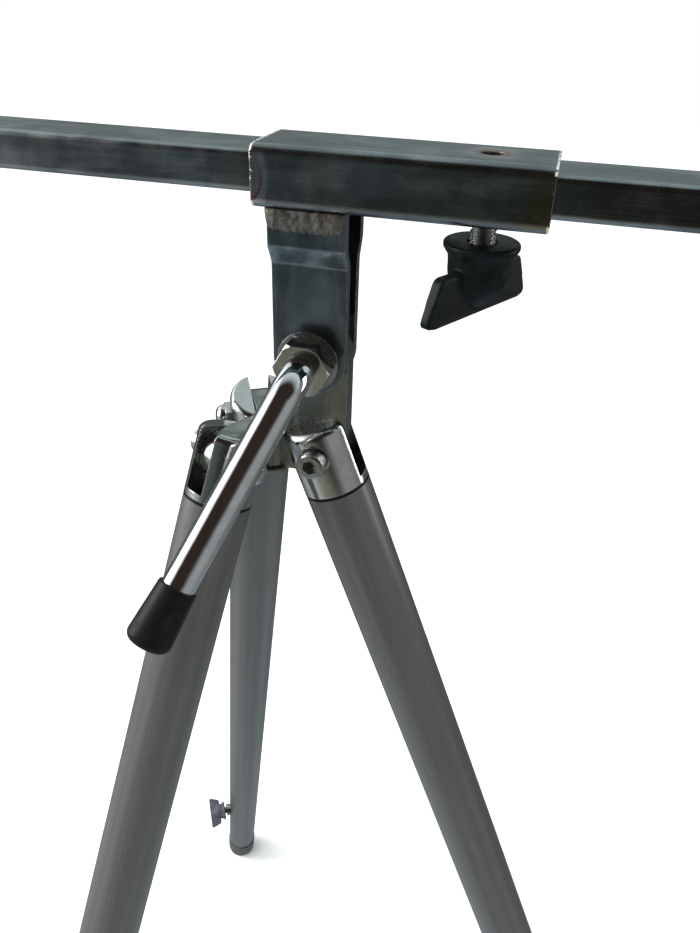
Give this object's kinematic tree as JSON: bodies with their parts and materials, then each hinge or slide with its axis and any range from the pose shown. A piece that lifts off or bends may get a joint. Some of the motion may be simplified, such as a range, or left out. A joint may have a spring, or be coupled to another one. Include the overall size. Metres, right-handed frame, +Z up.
{
  "type": "tripod easel stand",
  "caption": "Folding tripod easel stand with telescopic legs, a tilting head locked by a lever nut, and a sliding flat bar clamped in a sleeve.",
  "frame": {"origin": "on the floor under the axis of the hub, with the bar centred", "axes": "+X along the bar, towards the leg that stands under it; +Y away from the lever, towards the back leg; +Z up"},
  "size_m": [0.644, 0.486, 0.7721],
  "materials": {
    "chrome_steel": "polished",
    "plated_steel": "satin",
    "satin_aluminium": "satin",
    "weld_steel": "rough",
    "black_plastic": "satin",
    "black_rubber": "matte",
    "grey_plastic": "satin",
    "zinc_steel": "bright"
  },
  "bodies": {
    "hub": {"hub_core": "plated_steel", "hub_plate": "plated_steel", "hub_tongue_left": "plated_steel", "hub_tongue_back": "plated_steel", "hub_weld": "weld_steel"},
    "head": {"strap_front": "plated_steel", "strap_back": "plated_steel", "sleeve": "plated_steel", "head_welds": "weld_steel", "head_bolt": "zinc_steel", "head_washer_front": "zinc_steel", "head_washer_back": "zinc_steel"},
    "lever": {"lever_nut": "chrome_steel", "lever_rod": "chrome_steel", "lever_cap": "black_rubber"},
    "bar": {"crossbar": "plated_steel", "bar_end_plug_left": "black_plastic", "bar_end_plug_right": "black_plastic"},
    "clamp_screw": {"clamp_screw": "zinc_steel"},
    "clamp_knob": {"clamp_knob": "black_plastic"},
    "leg_right": {"fork_plug_right": "chrome_steel", "seal_ring_right": "black_rubber", "leg_screw_right": "zinc_steel", "leg_nut_right": "chrome_steel", "leg_tube_right": "satin_aluminium", "clamp_bush_right": "zinc_steel", "guide_bush_right": "black_plastic"},
    "lower_leg_right": {"inner_tube_right": "satin_aluminium", "glide_right": "black_plastic", "foot_right": "black_rubber"},
    "leg_clamp_right": {"leg_clamp_screw_right": "zinc_steel", "leg_clamp_knob_right": "grey_plastic"},
    "leg_left": {"fork_plug_left": "chrome_steel", "seal_ring_left": "black_rubber", "leg_screw_left": "zinc_steel", "leg_nut_left": "chrome_steel", "leg_tube_left": "satin_aluminium", "clamp_bush_left": "zinc_steel", "guide_bush_left": "black_plastic"},
    "lower_leg_left": {"inner_tube_left": "satin_aluminium", "glide_left": "black_plastic", "foot_left": "black_rubber"},
    "leg_clamp_left": {"leg_clamp_screw_left": "zinc_steel", "leg_clamp_knob_left": "grey_plastic"},
    "leg_back": {"fork_plug_back": "chrome_steel", "seal_ring_back": "black_rubber", "leg_screw_back": "zinc_steel", "leg_nut_back": "chrome_steel", "leg_tube_back": "satin_aluminium", "clamp_bush_back": "zinc_steel", "guide_bush_back": "black_plastic"},
    "lower_leg_back": {"inner_tube_back": "satin_aluminium", "glide_back": "black_plastic", "foot_back": "black_rubber"},
    "leg_clamp_back": {"leg_clamp_screw_back": "zinc_steel", "leg_clamp_knob_back": "grey_plastic"}
  },
  "joints": [
    {"name": "head_tilt", "type": "hinge", "parent": "hub", "child": "head", "pos_m": [0.017, 0, 0.7041], "axis": [0, -1, 0], "range_deg": [-60, 90]},
    {"name": "lever_turn", "type": "hinge", "parent": "head", "child": "lever", "pos_m": [0.017, 0, 0.7041], "axis": [0, -1, 0], "range_deg": [0, 150]},
    {"name": "bar_slide", "type": "slide", "parent": "head", "child": "bar", "axis": [1, 0, 0], "range_m": [-0.2, 0.2]},
    {"name": "clamp_knob_turn", "type": "hinge", "parent": "clamp_screw", "child": "clamp_knob", "pos_m": [0.069, 0, 0.7471], "axis": [0, 0, -1], "range_deg": [0, 541]},
    {"name": "clamp_screw_travel", "type": "slide", "parent": "head", "child": "clamp_screw", "axis": [0, 0, -1], "range_m": [0, 0.00187]},
    {"name": "leg_fold_right", "type": "hinge", "parent": "hub", "child": "leg_right", "pos_m": [0.02, 0, 0.6671], "axis": [0, 1, 0], "range_deg": [0, 20.5]},
    {"name": "leg_extend_right", "type": "slide", "parent": "leg_right", "child": "lower_leg_right", "axis": [0.3502, 0, -0.9367], "range_m": [0, 0.38]},
    {"name": "leg_clamp_turn_right", "type": "hinge", "parent": "leg_right", "child": "leg_clamp_right", "pos_m": [0.21612, 0.015, 0.14256], "axis": [0, 1, 0], "range_deg": [0, 360]},
    {"name": "leg_fold_left", "type": "hinge", "parent": "hub", "child": "leg_left", "pos_m": [-0.01, -0.01732, 0.6671], "axis": [0.866, -0.5, 0], "range_deg": [0, 20.5]},
    {"name": "leg_extend_left", "type": "slide", "parent": "leg_left", "child": "lower_leg_left", "axis": [-0.1751, -0.3033, -0.9367], "range_m": [0, 0.38]},
    {"name": "leg_clamp_turn_left", "type": "hinge", "parent": "leg_left", "child": "leg_clamp_left", "pos_m": [-0.09507, -0.19466, 0.14256], "axis": [0.866, -0.5, 0], "range_deg": [0, 360]},
    {"name": "leg_fold_back", "type": "hinge", "parent": "hub", "child": "leg_back", "pos_m": [-0.01, 0.01732, 0.6671], "axis": [-0.866, -0.5, 0], "range_deg": [0, 20.5]},
    {"name": "leg_extend_back", "type": "slide", "parent": "leg_back", "child": "lower_leg_back", "axis": [-0.1751, 0.3033, -0.9367], "range_m": [0, 0.38]},
    {"name": "leg_clamp_turn_back", "type": "hinge", "parent": "leg_back", "child": "leg_clamp_back", "pos_m": [-0.12105, 0.17966, 0.14256], "axis": [-0.866, -0.5, 0], "range_deg": [0, 360]}
  ],
  "couplings": [
    {"joint": "clamp_knob_turn", "follows": "clamp_screw_travel", "rad_per_m": 5026.5}
  ]
}
